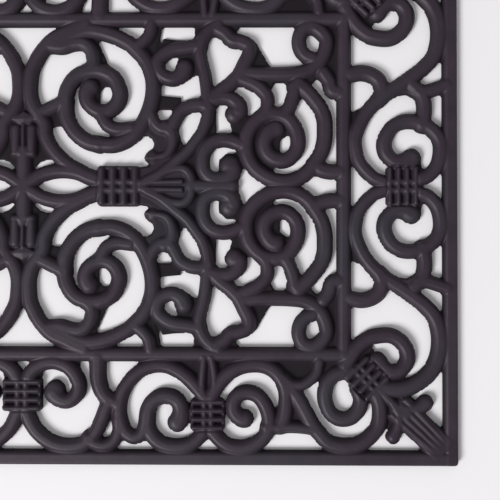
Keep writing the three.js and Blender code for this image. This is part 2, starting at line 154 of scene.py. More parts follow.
# Half a gathered strand as a share of its offset, and where the flanks of strands and bars start
GATHERED_HALF = 1.05
COLLAR_FLANK_START = 0.1
# How far a rib falls, the other heights, how far strands dip over its ends, and the blends
RIB_FALL = 2.8
GATHERED_HEIGHT = 7.2
COLLAR_BAR_HEIGHT = 5.4
COLLAR_PIT_HEIGHT = 1.6
COLLAR_OVER_DIP = 0.6
RIB_BLEND = 1.4
COLLAR_BAR_BLEND = 1.0

# The leaf: half its width, and how much less that is at the tip
LEAF_HALF = 12.0
LEAF_NARROWING = 0.6
# How far it starts before its first point, half its blunt end, and the slope of the bevels beside it
LEAF_START = 6
LEAF_BLUNT_HALF = 5
LEAF_BLUNT_SLOPE = 0.7
# Its flutes: how far apart, how much less that is at the tip, height, depth, and where they fade
FLUTE_PITCH = 5.5
FLUTE_NARROWING = 1.6
FLUTE_HEIGHT = 7.9
FLUTE_DEPTH = 1.7
FLUTE_FADE_START = 0.62
FLUTE_FADE_SPAN = 0.3
# How far its tip drops, where its sides start to fall, and the height and slope at its start
LEAF_END_DROP = 1.4
LEAF_FLANK_START = 0.6
LEAF_FOOT_HEIGHT = 4.2
LEAF_FOOT_SLOPE = 1.1

# The bud: how far its two ribs lie from its axis and how much farther at its end, half a rib, the
# height and the slope past its outline
BUD_PITCH = 2.4
BUD_WIDENING = 0.9
BUD_RIB_HALF = 2.9
BUD_HEIGHT = 7.7
BUD_END_SLOPE = 2

# The diamond: the height of its edge, its rise to the middle and the slope past its outline
DIAMOND_EDGE = 6.4
DIAMOND_RISE = 1.3
DIAMOND_SLOPE = 4

# Meshing, in shares of a cell: vertices this near the outline move onto it, but no farther than this
SNAP_SHARE = 0.5
MOST_MOVE_SHARE = 0.6
# The least steepness, squared, that a move reckons with, and the least area at a cell's corner
LEAST_STEEPNESS = 0.25
LEAST_CORNER = 0.12
# Vertices on the outline, to within a rounding, count as rubber in a band along the edge of the mat
ON_OUTLINE = -1e-6
OUTER_BAND = 0.1
# How far a doubled vertex moves towards the middle of its own face
SPLIT_SHARE = 0.1
# The triangulation keeps what the outline encloses, and joins corners this near, in metres
INSIDE_ONLY = 1
SAME_PLACE = 1e-7
# What something is divided by is at least this
TINY = 1e-9

# The drawing, in squares: along the length, and towards the front
POST = [[0, -34], [0, 34]]
LENS = [[2, 1], [9, 6], [18, 11], [28, 14], [40, 15], [54, 13], [66, 8], [79, 4]]
CROSS_CAP = [[-9, 32], [9, 32]]
FINGER = [[8, 36], [8, 62]]
CENTRE_ROD = [[0, 36], [0, 60]]

ARM = [
    [78, 6], [66, 10], [56, 15], [45, 21], [34, 30], [26, 40], [21, 51], [20, 61], [15, 70],
    [9, 79], [5.5, 91], [5.5, 105], [7, 116], [11.5, 126], [16, 134], [22.5, 142], [30, 149],
    [41, 154], [51, 159], [62, 163],
]
HOOK = [[26, 141], [38, 140], [48, 143], [58, 143.5], [65, 139], [69, 130], [69, 122], [65, 116]]
ARM_BRIDGE = [[16, 72], [26, 77], [34, 81], [42, 85]]

WHORL = [
    [76, 41], [65, 43.5], [55, 49.5], [48, 57.5], [43, 67.5], [41.5, 79], [42, 91], [46, 102],
    [54, 110.5], [66, 115], [78, 114.5], [89, 109], [94, 101], [96.5, 91], [93.5, 81.5],
    [87, 75.5], [79, 73.5], [70, 76.5], [64, 83], [63, 92], [67, 99], [75, 101],
]
WHORL_BRIDGE = [[78, 70], [84, 60], [94, 56], [108, 57]]
LOOP = [
    [76, 41], [90, 40.5], [102, 44.5], [112, 51.5], [120, 62.5], [127, 78.5], [130, 94],
    [129, 109], [123, 124], [114.5, 135], [106, 143], [93, 150], [78, 155], [64, 156.5], [52, 153],
    [42, 148], [32, 146],
]
ARCH = [[114, 140], [121, 146], [126, 153], [128, 163]]

STEM = [
    [116, 1], [130, 7], [142, 15], [153, 24], [164, 33], [173, 44], [181, 56], [185, 70],
    [185, 84], [184, 98], [182, 112], [179, 124], [177, 136], [180, 148], [187, 157], [196, 162],
]
NUB_CURL = [[125, 27], [134, 28], [144, 31], [149.5, 41], [149, 51], [142, 58]]
SWAN = [
    [127, 72], [132, 62], [140, 56], [148, 58], [153, 66], [158, 74], [167, 79], [178, 80.5],
    [186, 78],
]
STEM_RING = [
    [177, 141], [164, 139], [151, 137], [141, 132], [135, 125], [136, 115], [142, 109], [150, 107],
    [158, 111], [162, 118], [161, 127],
]
LEFT_RING = [
    [218, 41], [209, 44.5], [199, 45.5], [189, 42], [182, 34], [180, 24], [182, 14], [189, 8],
    [199, 7], [207, 10], [211, 17], [209, 25],
]
SMALL_CURL = [[190, 86], [200, 88], [210, 86], [216, 80], [216, 72], [210, 70]]
FALL = [
    [190, 87], [200, 96], [209, 103], [217, 112], [222, 122], [227, 133], [226, 141], [218, 145],
    [209, 147], [202, 154], [192, 160],
]

SPIRAL = [
    [276, 102], [284, 95], [292, 86], [299, 76], [302.5, 66], [303, 55], [302.5, 45], [299.5, 34],
    [294, 24.5], [286.5, 14.5], [276, 7.5], [265, 4.5], [253, 5.5], [241.5, 10.5], [231.5, 18.5],
    [225.5, 28.5], [223.5, 40], [225.5, 52], [231.5, 62], [241, 69], [253, 71], [265, 67],
    [272.5, 58], [276, 47], [275, 36.5], [269, 28.5], [261, 25], [251, 27], [244, 33.5], [242, 43],
    [246, 52], [254, 57], [263, 56],
]
SPIRAL_LEG = [[262, 70], [267, 78], [271, 88], [273, 99]]
TIE = [[241, 69], [245, 78], [245, 88], [238, 97], [228, 103], [218, 107]]
TAIL = [
    [222, 113], [240, 111.5], [253, 111.5], [268, 112], [281, 113.5], [291, 118], [298.5, 125.5],
    [303, 135], [304.5, 146], [299, 155], [290, 160], [281, 157], [277, 148], [278, 139],
    [283, 131], [291, 127],
]
TAIL_TIE = [[316, 93], [310, 95], [307, 104], [301, 113]]
SHOULDER = [[292, 21], [300, 16], [310, 14], [318, 14]]

MIDDLE_RING = [
    [5, 197.5], [7, 189.5], [13, 182], [22, 177.5], [33, 176.5], [45, 181], [53, 189.5],
    [57, 200.5], [54, 209.5], [46, 215], [38, 213.5], [31, 207.5], [27, 199.5],
]
BOWL = [
    [4, 225.5], [8, 235], [14, 244.5], [23.5, 253], [35, 258.5], [48, 260], [61, 257.5],
    [72, 248.5], [79, 235.5], [84, 222.5], [88, 214.5],
]
DROP = [[75.5, 172], [75.5, 183], [76, 192.5], [78.5, 202.5], [83.5, 210.5], [93, 216.5]]
EYE = [[97, 233.5], [97, 245.5], [92, 254.5], [83, 258.5], [73, 256.5], [66, 251]]
OUTER_ARCH = [
    [184, 212.5], [176, 202.5], [167, 193], [156, 185], [144, 180], [131, 180], [118, 185.5],
    [108, 194.5], [101, 205.5], [97.5, 219.5], [98.5, 233.5], [104, 245.5], [112, 250.5],
    [120, 247.5], [124, 237.5], [126, 225.5],
]
QUARTER_RING = [
    [181, 246.5], [175, 253], [165, 258.5], [153, 260], [141, 257.5], [131, 250], [126, 239.5],
    [126, 226.5], [130, 216.5], [139, 210.5], [148, 210.5], [156, 215], [159.5, 224], [157, 234],
    [148, 242],
]
RIGHT_RING = [
    [191, 245], [197, 252], [207, 259], [219, 261], [231, 258], [241.5, 251], [247, 241],
    [247, 229.5], [243, 218], [235.5, 209], [225, 206], [216, 209], [211.5, 217], [213, 226],
    [221, 232], [232, 229.5],
]
INNER_ARCH = [
    [188, 212], [195, 201], [203, 191], [214, 183], [227, 179], [240, 179], [252, 184.5],
    [260, 194], [264, 206], [264, 219], [262, 231], [258, 240],
]
CROSSBAR = [[244, 240], [258, 240], [273, 240], [290, 242]]
SADDLE = [[259, 190], [269, 197], [280, 198], [289, 193], [295, 185], [297, 175]]
CORNER_BOWL = [
    [262, 194], [270.5, 204], [278, 215], [284, 226], [290, 237], [297, 246], [305.5, 254.5],
    [317, 258.5], [329, 258.5], [340, 255.5], [349, 248.5], [356, 239], [358, 228], [357, 216],
    [353, 207], [345, 199],
]

SIDE_RING = [
    [396, 6], [407, 10.5], [415.5, 20], [419, 33], [418, 45], [411, 55], [399, 62], [386, 64],
    [375, 61], [366.5, 53], [362.5, 42], [364.5, 32], [372, 25], [382, 24], [391, 28], [399, 26],
]
SIDE_LINK = [[400, 60], [402.5, 70], [402.5, 82], [399, 92], [391, 100]]
SIDE_TIE = [[396, 94], [405, 94], [414, 96.5], [425, 100.5]]
SIDE_SWEEP = [
    [362, 4], [353, 7.5], [344.5, 14.5], [337.5, 23.5], [334, 34], [333, 46], [337, 59], [343, 70],
    [351, 80], [360, 88], [370, 95], [381, 102], [392, 110], [404, 119.5], [413, 131.5],
    [417, 145], [417.5, 160], [414.5, 174], [407.5, 186], [396.5, 195.5], [383, 201.5],
    [369, 202.5], [357, 200.5],
]
SIDE_CURL = [[357, 85], [360, 95], [357, 105], [349, 111], [339, 113], [328, 111]]

CORNER_RING = [
    [333, 190], [335, 202], [339, 213], [336, 224], [328, 231], [318, 232], [309, 227], [304, 217],
    [303, 206], [306, 196], [314, 188], [324, 186], [334, 187],
]
CORNER_SCROLL = [
    [323, 180], [330, 168], [337, 159], [346, 152], [357, 149], [369, 149], [379, 155], [385, 165],
    [385, 175], [379, 183], [370, 185], [361, 181], [355.5, 174.5], [350, 167],
]
LEAF_NECK = [[356, 202], [370, 216], [384, 228]]
LEAF = [[378, 222], [421.5, 263]]
LEAF_FRONT_LOBE = [[370, 217], [376, 227], [375, 240], [367.5, 256]]
LEAF_SIDE_LOBE = [[374, 220], [388, 221], [399, 218.5], [409.5, 210.5]]

BUD = [[112, 0], [160, 0]]
BUD_LOBE = [[124, 6], [138, 12], [152, 16.5], [162, 16], [168, 9], [169, 0]]
BUD_BAR = [[168, 0], [210, 0]]
DIAMOND = [[0, 66], [14, 66], [0, 73.5]]
PALMETTE_LEFT = [[183, 214], [180.5, 202], [180.5, 190], [182, 172]]
PALMETTE_RIGHT = [[189, 214], [192, 202], [192.5, 190], [189.5, 172]]

# Low webs in the tight corners: the outline and the height
PIT = 2.7
WEBS = {
    "centre_cross": [([[0, 52], [14, 64], [0, 82], [-14, 64]], 3.4)],
    "bud_collar": [([[118, -9], [150, -16], [168, -8], [168, 8], [150, 16], [118, 9]], 4.6)],
    "field_arm": [
        ([[8, 16], [16, 24], [30, 28], [24, 50], [20, 62], [8, 62]], PIT),
        ([[22, 58], [40, 60], [42, 84], [30, 82], [22, 74]], PIT),
    ],
    "field_whorl": [
        ([[71, 80], [76, 84], [76, 93], [80, 99], [88, 100], [80, 109], [71, 109], [66, 96]], PIT),
        ([[76, 112], [90, 110], [84, 122], [73, 148], [66, 146]], PIT),
        ([[122, 134], [132, 132], [136, 146], [139, 162], [128, 164]], PIT),
        ([[134, 134], [150, 142], [162, 146], [140, 149]], PIT),
    ],
    "field_spiral": [
        ([[249, 29], [258, 34], [258, 44], [267, 52], [262, 60], [244, 46]], PIT),
        ([[228, 44], [230, 30], [238, 20], [252, 14], [250, 22], [240, 27], [235, 38], [237, 50],
          [241, 60], [234, 58]], PIT),
        ([[241, 94], [250, 98], [253, 104], [262, 104], [266, 96], [286, 98], [300, 112], [240, 116]],
         3.6),
        ([[302, 114], [318, 106], [318, 163], [304, 163]], PIT),
        ([[228, 118], [250, 116], [242, 130], [234, 144], [226, 136]], PIT),
        ([[284, 120], [294, 120], [298, 130], [286, 134]], 4.4),
    ],
    "field_stem": [
        ([[135, 76], [157, 76], [158, 88], [138, 90]], PIT),
        ([[158, 104], [176, 112], [174, 136], [160, 134]], PIT),
        ([[153, 118], [160, 124], [160, 132], [156, 131]], PIT),
        ([[125, 31], [129.5, 35], [131, 42], [128.5, 47], [121, 50.5], [128, 60], [142, 56],
          [147, 44], [142, 32]], 4.4),
        ([[112, 6], [124, 7], [140, 17], [148, 28], [136, 28], [126, 20], [112, 18]], 4.4),
        ([[160, 18], [178, 12], [177, 38]], PIT),
        ([[154, 26], [163, 36], [153, 56]], PIT),
        ([[181, 50], [190, 51], [194, 55], [193, 76], [197, 84], [188, 86], [185, 64]], PIT),
        ([[204, 2], [216, 4], [218, 15], [214, 32], [204, 32], [197, 26], [197, 14]], PIT),
        ([[211, 50], [224, 50], [228, 66], [222, 72], [208, 60]], PIT),
        ([[171, 146], [178, 140], [184, 163], [172, 163]], PIT),
        ([[203, 150], [214, 154], [218, 164], [200, 164]], PIT),
    ],
    "middle_collar": [
        ([[40, 173], [57, 173], [57, 180], [50, 188], [40, 182]], PIT),
        ([[8, 187], [14, 180], [20, 186], [19, 196], [6, 196]], PIT),
    ],
    "border_scroll": [([[114, 172], [178, 172], [178, 196], [160, 184], [124, 184]], PIT)],
    "border_ring": [
        ([[246, 222], [262, 222], [270, 204], [278, 206], [298, 242], [286, 246], [250, 246]], PIT),
        ([[192, 172], [299, 172], [296, 186], [286, 196], [270, 196], [256, 186], [206, 184],
          [192, 200]], PIT),
    ],
    "palmette_collar": [([[182, 174], [191, 174], [191, 212], [182, 212]], 4.0)],
    "corner_collar": [([[300, 174], [318, 174], [322, 182], [306, 192]], PIT)],
    "corner_scroll": [
        ([[358, 190], [380, 191], [388, 196], [382, 200], [360, 201]], PIT),
        ([[338, 172], [340, 160], [348, 157], [352, 163], [346, 174]], PIT),
    ],
    "side_sweep": [
        ([[366, 86], [375, 90], [385, 91], [396, 87], [401, 96], [397, 103], [388, 103], [374, 97]], 5.4),
        ([[329, 54], [336, 58], [341, 70], [336, 76], [330, 73]], PIT),
    ],
    "side_collar": [([[389, 10], [404, 12], [400, 21], [395, 31], [386, 28]], 3.4)],
    "leaf": [
        ([[372, 208], [392, 212], [398, 222], [392, 234], [380, 224]], PIT),
        ([[362, 216], [374, 222], [374, 240], [364, 240], [360, 226]], PIT),
    ],
}

# Collars: the element, the middle, the pitch of the ribs, how far they reach, and the way the
# gathered strands run
COLLARS = [
    ("bud_collar", [95.5, 0], 11.3, 20, [1, 0]),
    ("middle_collar", [0, 209], 8.7, 20, [0, 1]),
    ("palmette_collar", [186, 228], 8.5, 17.5, [0, 1]),
    ("side_collar", [380.5, 0], 8.6, 20, [1, 0]),
    ("corner_collar", [344.5, 191.5], 9.2, 17, [math.sqrt(0.5), math.sqrt(0.5)]),
]

# Round knobs at the ends of curls: the element, the middle and the radius
KNOBS = [
    ("field_stem", [208, 20], 8.6), ("field_stem", [212, 71], 7.8), ("field_stem", [130, 28.5], 6.0),
    ("middle_collar", [33, 204], 8.0),
]

# Strands of each element: the points, the width, the width at the end where it differs, and whether
# the last end is free
STRANDS = {
    "centre_cross": [
        (POST, 13.2), (LENS, 12.4), (CROSS_CAP, 7.6), (FINGER, 8.8, 8.8, True), (CENTRE_ROD, 4.6),
    ],
    "bud_collar": [(BUD_BAR, 12), (BUD_LOBE, 8, 9.6)],
    "middle_collar": [(MIDDLE_RING, 12.8, 12.8, True)],
    "side_collar": [(SIDE_RING, 12, 13.2, True)],
    "palmette_collar": [(PALMETTE_LEFT, 7.6), (PALMETTE_RIGHT, 7.6)],
    "corner_collar": [(CORNER_RING, 12.8)],
    "leaf": [(LEAF_NECK, 8.6), (LEAF_FRONT_LOBE, 8, 10.4, True), (LEAF_SIDE_LOBE, 8, 11.4, True)],
    "field_arm": [(ARM, 12.4, 12.8), (HOOK, 12.2), (ARM_BRIDGE, 12)],
    "field_whorl": [(WHORL, 14, 12.8, True), (WHORL_BRIDGE, 12), (LOOP, 13.2), (ARCH, 11)],
    "field_spiral": [
        (SPIRAL, 13.4, 13, True), (SPIRAL_LEG, 12.4), (TAIL, 12.4), (TAIL_TIE, 13, 12),
        (SHOULDER, 13), (TIE, 12),
    ],
    "field_stem": [
        (STEM, 10.4, 11.6), (NUB_CURL, 6, 13), (SWAN, 11, 12), (STEM_RING, 12.4, 12.4, True),
        (LEFT_RING, 12.4, 12.4, True), (SMALL_CURL, 12.4, 12.4, True), (FALL, 12.6),
    ],
    "border_scroll": [
        (BOWL, 13, 12.6), (DROP, 14.4, 13), (EYE, 11.6), (OUTER_ARCH, 12.4),
        (QUARTER_RING, 12.6, 14, True),
    ],
    "border_ring": [
        (RIGHT_RING, 12.8, 12.8, True), (INNER_ARCH, 12.8), (CROSSBAR, 9.6), (CORNER_BOWL, 13.6, 12.8),
        (SADDLE, 10),
    ],
    "side_sweep": [(SIDE_SWEEP, 11.6, 14.6), (SIDE_CURL, 13.2), (SIDE_LINK, 12.8), (SIDE_TIE, 11.6)],
    "corner_scroll": [(CORNER_SCROLL, 13, 13, True)],
}

# Elements in order of precedence, with how they are copied over the mat
ELEMENTS = {
    "rim_front": "front_back", "rim_right": "left_right",
    "frame_front": "front_back", "frame_right": "left_right",
    "centre_cross": "whole", "bud_collar": "left_right", "middle_collar": "front_back",
    "side_collar": "left_right", "palmette_collar": "quarters", "corner_collar": "quarters",
    "leaf": "quarters", "field_arm": "quarters", "field_whorl": "quarters",
    "field_spiral": "quarters", "field_stem": "quarters", "border_scroll": "quarters",
    "border_ring": "quarters", "side_sweep": "quarters", "corner_scroll": "quarters",
}


def place_one(share, frame_share, rim_share, field, border):
    """Millimetres for squares, which are scaled apart within the frame and outside it."""
    size = abs(share)
    inner = min(size, frame_share) / frame_share * field
    outer = max(size - frame_share, 0) / (rim_share - frame_share) * border
    return math.copysign(inner + outer, share)


def bulged(across):
    share = min(abs(across) / FRAME_ACROSS, 1)
    return across + math.copysign(FIELD_BULGE * math.sin(math.pi * share), across)


def drawn(shares):
    """Places in millimetres for places in squares."""
    return np.array([[
        place_one(along, FRAME_ALONG, RIM_ALONG, FIELD_LENGTH, SIDE_BORDER_WIDTH),
        -place_one(bulged(across), FRAME_ACROSS, RIM_ACROSS, FIELD_WIDTH, FRONT_BORDER_WIDTH),
    ] for along, across in shares])


def smooth_curve(points, per_span=8):
    """A centripetal Catmull-Rom curve through the points."""
    if len(points) == 2:
        return points
    padded = np.vstack([2 * points[0] - points[1], points, 2 * points[-1] - points[-2]])
    spans = []
    for p0, p1, p2, p3 in zip(padded, padded[1:], padded[2:], padded[3:]):
        t1 = np.linalg.norm(p1 - p0) ** 0.5
        t2 = t1 + np.linalg.norm(p2 - p1) ** 0.5
        t3 = t2 + np.linalg.norm(p3 - p2) ** 0.5
        t = np.linspace(t1, t2, per_span, endpoint=False)[:, None]
        a1 = (t1 - t) / t1 * p0 + t / t1 * p1
        a2 = (t2 - t) / (t2 - t1) * p1 + (t - t1) / (t2 - t1) * p2
        a3 = (t3 - t) / (t3 - t2) * p2 + (t - t2) / (t3 - t2) * p3
        b1 = (t2 - t) / t2 * a1 + t / t2 * a2
        b2 = (t3 - t) / (t3 - t1) * a2 + (t - t1) / (t3 - t1) * a3
        spans.append((t2 - t) / (t2 - t1) * b1 + (t - t1) / (t2 - t1) * b2)
    return np.vstack(spans + [points[-1:]])


def arc_lengths(line):
    return np.concatenate([[0], np.cumsum(np.linalg.norm(np.diff(line, axis=0), axis=1))])


def with_knob(line, half):
    """A free end stops short of its tip and swells, so that its round cap ends at the tip."""
    arc = arc_lengths(line)
    knob = half[-1] * KNOB_SHARE
    end = arc[-1] - knob
    keep = arc < end - KNOB_CLEAR
    tip = [np.interp(end, arc, line[:, k]) for k in range(2)]
    half = np.append(half[keep], np.interp(end, arc, half))
    line = np.vstack([line[keep], tip])
    arc = arc_lengths(line)
    near = np.clip(1 - (arc[-1] - arc) / (KNOB_REACH * half[-1]), 0, 1)
    return line, half + (knob - half[-1]) * near * near * (3 - 2 * near)


def smooth_max(a, b, blend):
    gap = np.maximum(blend - np.abs(a - b), 0)
    return np.maximum(a, b) + gap * gap / (4 * blend)


def nearest_on(points, line):
    """Distance from each point to a line, and where on the line the nearest place is."""
    start, way = line[:-1], np.diff(line, axis=0)
    size = np.maximum((way ** 2).sum(1), TINY)
    best = np.full(len(points), np.inf)
    place = np.zeros(len(points))
    for k in range(len(way)):
        offset = points - start[k]
        t = np.clip(offset @ way[k] / size[k], 0, 1)
        d = ((offset - t[:, None] * way[k]) ** 2).sum(1)
        closer = d < best
        best = np.where(closer, d, best)
        place = np.where(closer, k + t, place)
    return np.sqrt(best), place


def crown(u, top, flank_start=FLANK_START):
    """Height over the floor of a strand, at a share u of its half width from its middle."""
    slope = (u - flank_start) / (1 - flank_start)
    fall = np.clip(slope, 0, 1) ** FLANK_POWER + FLANK_POWER * np.maximum(slope - 1, 0)
    return top * (1 - FLANK * fall)


def polygon_inside(points, corners):
    """How far each point lies inside a polygon, negative outside."""
    closed = np.vstack([corners, corners[:1]])
    distance, _ = nearest_on(points, closed)
    x, y = points.T
    odd = np.zeros(len(points), bool)
    for (x0, y0), (x1, y1) in zip(closed, closed[1:]):
        if y0 == y1:
            continue
        crosses = (y0 > y) != (y1 > y)
        odd ^= crosses & (x < (x1 - x0) * (y - y0) / (y1 - y0) + x0)
    return np.where(odd, distance, -distance)


class Relief:
    """The outline and the height of the front right quarter at the given points."""

    def __init__(self, x, y):
        self.points = np.column_stack([x.ravel(), y.ravel()])
        count = len(self.points)
        self.inside = np.full(count, FAR)
        self.height = np.full(count, FAR)
        self.webs = np.full(count, EDGE_HEIGHT)
        self.owner = {name: np.full(count, FAR) for name in ELEMENTS}

    def near(self, low, high, margin):
        x, y = self.points.T
        return np.flatnonzero(
            (x > low[0] - margin) & (x < high[0] + margin) & (y > low[1] - margin) & (y < high[1] + margin)
        )

    def add(self, name, chosen, inside, height):
        self.inside[chosen] = smooth_max(self.inside[chosen], inside, PLAN_BLEND)
        self.height[chosen] = smooth_max(self.height[chosen], height, HEIGHT_BLEND)
        self.owner[name][chosen] = np.maximum(self.owner[name][chosen], inside)

    def strand(self, name, line, half, top=CROWN_HEIGHT, **profile):
        half = np.broadcast_to(half, len(line))
        chosen = self.near(line.min(0), line.max(0), half.max() + 2 * PLAN_BLEND)
        distance, place = nearest_on(self.points[chosen], line)
        wide = np.interp(place, np.arange(len(line)), half)
        self.add(name, chosen, wide - distance, crown(distance / wide, top, **profile))

    def web(self, name, corners, height):
        chosen = self.near(corners.min(0), corners.max(0), 2 * PLAN_BLEND)
        inside = polygon_inside(self.points[chosen], corners)
        self.inside[chosen] = smooth_max(self.inside[chosen], inside, PLAN_BLEND)
        self.owner[name][chosen] = np.maximum(self.owner[name][chosen], inside)
        level = EDGE_HEIGHT + (height - EDGE_HEIGHT) * np.clip(inside / EDGE_REACH + 1, 0, 1)
        self.webs[chosen] = np.maximum(self.webs[chosen], level)

    def finish(self):
        edge = np.clip(self.inside / EDGE_REACH, 0, 1)
        low = EDGE_HEIGHT + (np.maximum(self.webs, WEB_HEIGHT) - EDGE_HEIGHT) * edge * (2 - edge)
        height = smooth_max(self.height, low, HEIGHT_BLEND)
        return np.clip(height, EDGE_HEIGHT, MAT_THICKNESS)


def across_frame(points, middle, way):
    """Places counted along a way and to its left, from a middle."""
    offset = points - middle
    return offset @ way, offset @ np.array([-way[1], way[0]])


def add_collar(relief, name, middle, pitch, reach, way):
    """Four ribs across two gathered strands, over low pits, closed by a bar at each end."""
    way = np.array(way, float)
    aside = np.array([-way[1], way[0]])
    middle = np.array(middle, float)
    centre = drawn([middle])[0]
    ends = drawn([middle - way * pitch / 2, middle + way * pitch / 2])
    tips = drawn([middle - aside * reach, middle + aside * reach])
    pitch = np.linalg.norm(ends[1] - ends[0])
    run = (ends[1] - ends[0]) / pitch
    half_across = np.linalg.norm(tips[1] - tips[0]) / 2
    half_along = COLLAR_END * pitch
    span = half_along + half_across
    chosen = relief.near(centre - span, centre + span, 0)
    along, across = across_frame(relief.points[chosen], centre, run)
    along, across = np.abs(along), np.abs(across)
    past = np.stack([along - half_along, across - half_across]) + COLLAR_CORNER
    outer = np.linalg.norm(np.maximum(past, 0), axis=0) + np.minimum(past.max(0), 0)
    inside = COLLAR_CORNER - outer
    # Ribs at a half and one and a half pitches from the middle
    to_rib = np.abs(along / pitch % 1 - 0.5) * pitch
    last_rib = COLLAR_LAST_RIB * pitch
    to_rib = np.where(along > last_rib, along - last_rib, to_rib)
    outward = np.clip((across / half_across - RIB_FALL_START) / RIB_FALL_SPAN, 0, 1)
    rib = crown(to_rib / (RIB_HALF * pitch), MAT_THICKNESS, 0) - RIB_FALL * outward ** 2
    strand_offset = GATHERED_OFFSET * half_across
    to_gathered = np.abs(across - strand_offset) / (GATHERED_HALF * strand_offset)
    gathered = crown(to_gathered, GATHERED_HEIGHT, COLLAR_FLANK_START)
    to_bar = np.abs(across - COLLAR_BAR_PLACE * half_across) / (COLLAR_BAR_HALF * half_across)
    bar = crown(to_bar, COLLAR_BAR_HEIGHT, COLLAR_FLANK_START)
    bar = np.where(along < last_rib, bar, FAR)
    ribbed = smooth_max(rib, gathered, RIB_BLEND)
    height = smooth_max(ribbed, np.maximum(bar, COLLAR_PIT_HEIGHT), COLLAR_BAR_BLEND)
    relief.inside[chosen] = smooth_max(relief.inside[chosen], inside, PLAN_BLEND / 2)
    within = inside > 0
    over_end = np.maximum(height, relief.height[chosen] - COLLAR_OVER_DIP)
    ruled = np.where(along < last_rib, height, over_end)
    relief.height[chosen[within]] = ruled[within]
    relief.owner[name][chosen] = np.maximum(relief.owner[name][chosen], inside)


def add_leaf(relief):
    """Flutes that run to the corner, drawing together a little."""
    start, end = drawn(LEAF)
    length = np.linalg.norm(end - start)
    run = (end - start) / length
    chosen = relief.near(np.minimum(start, end), np.maximum(start, end), LEAF_MARGIN)
    along, across = across_frame(relief.points[chosen], start, run)
    share = np.clip(along / length, 0, 1)
    half = LEAF_HALF - LEAF_NARROWING * share
    blunt = LEAF_START + along - np.maximum(np.abs(across) - LEAF_BLUNT_HALF, 0) * LEAF_BLUNT_SLOPE
    inside = np.minimum(half - np.abs(across), np.minimum(blunt, length - along))
    pitch = FLUTE_PITCH - FLUTE_NARROWING * share
    flute = np.abs((across / pitch) % 1 - 0.5) * 2
    fade = np.clip((share - FLUTE_FADE_START) / FLUTE_FADE_SPAN, 0, 1)
    rise = FLUTE_HEIGHT - FLUTE_DEPTH * flute ** 2 * (1 - fade) - LEAF_END_DROP * fade
    sides = crown(np.abs(across) / half, MAT_THICKNESS, LEAF_FLANK_START)
    height = np.minimum(rise, sides)
    height = np.minimum(height, LEAF_FOOT_HEIGHT + LEAF_FOOT_SLOPE * np.maximum(along + LEAF_START, 0))
    height = np.where(inside > FORM_OVERHANG, height, FAR)
    relief.add("leaf", chosen, inside, height)


def add_bud(relief):
    """Two ribs side by side along the axis, which draw together towards the collar."""
    start, end = drawn(BUD)
    chosen = relief.near(np.minimum(start, end), np.maximum(start, end), BUD_MARGIN)
    along, across = across_frame(relief.points[chosen], start, np.array([1.0, 0.0]))
    length = end[0] - start[0]
    share = np.clip(along / length, 0, 1)
    pitch = BUD_PITCH + BUD_WIDENING * share
    rib = crown(np.abs(np.abs(across) - pitch) / BUD_RIB_HALF, BUD_HEIGHT)
    inside = np.minimum(pitch + BUD_RIB_HALF - np.abs(across), np.minimum(along, length - along))
    height = np.where(inside > FORM_OVERHANG, rib - BUD_END_SLOPE * np.maximum(-inside, 0), FAR)
    relief.add("bud_collar", chosen, inside, height)


def add_diamond(relief):
    """A low four-sided point at the end of the cross."""
    centre, side, front = drawn(DIAMOND)
    half_along = side[0] - centre[0]
    half_across = abs(front[1] - centre[1])
    chosen = relief.near(centre, centre, DIAMOND_MARGIN)
    offset = np.abs(relief.points[chosen] - centre)
    inside = (1 - offset[:, 0] / half_along - offset[:, 1] / half_across) * half_across
    slope = np.where(inside > 0, DIAMOND_RISE / half_across, DIAMOND_SLOPE)
    height = DIAMOND_EDGE + slope * inside
    relief.add("centre_cross", chosen, inside, height)


def add_strand(relief, name, points, width, end_width=None, free=False):
    line = smooth_curve(drawn(points))
    arc = arc_lengths(line)
    ends = [width / 2, (end_width or width) / 2]
    half = np.interp(arc / arc[-1], [0, 1], ends) - STRAND_TRIM
    if free:
        line, half = with_knob(line, half)
    relief.strand(name, line, half)


def inside_mat(points):
    """How far a point lies inside the outer outline, with its rounded corners."""
    half = np.array([MAT_LENGTH / 2, MAT_WIDTH / 2])
    past = np.abs(points) - (half - CORNER_RADIUS)
    outer = np.linalg.norm(np.maximum(past, 0), axis=1) + np.minimum(past.max(1), 0)
    return CORNER_RADIUS - outer


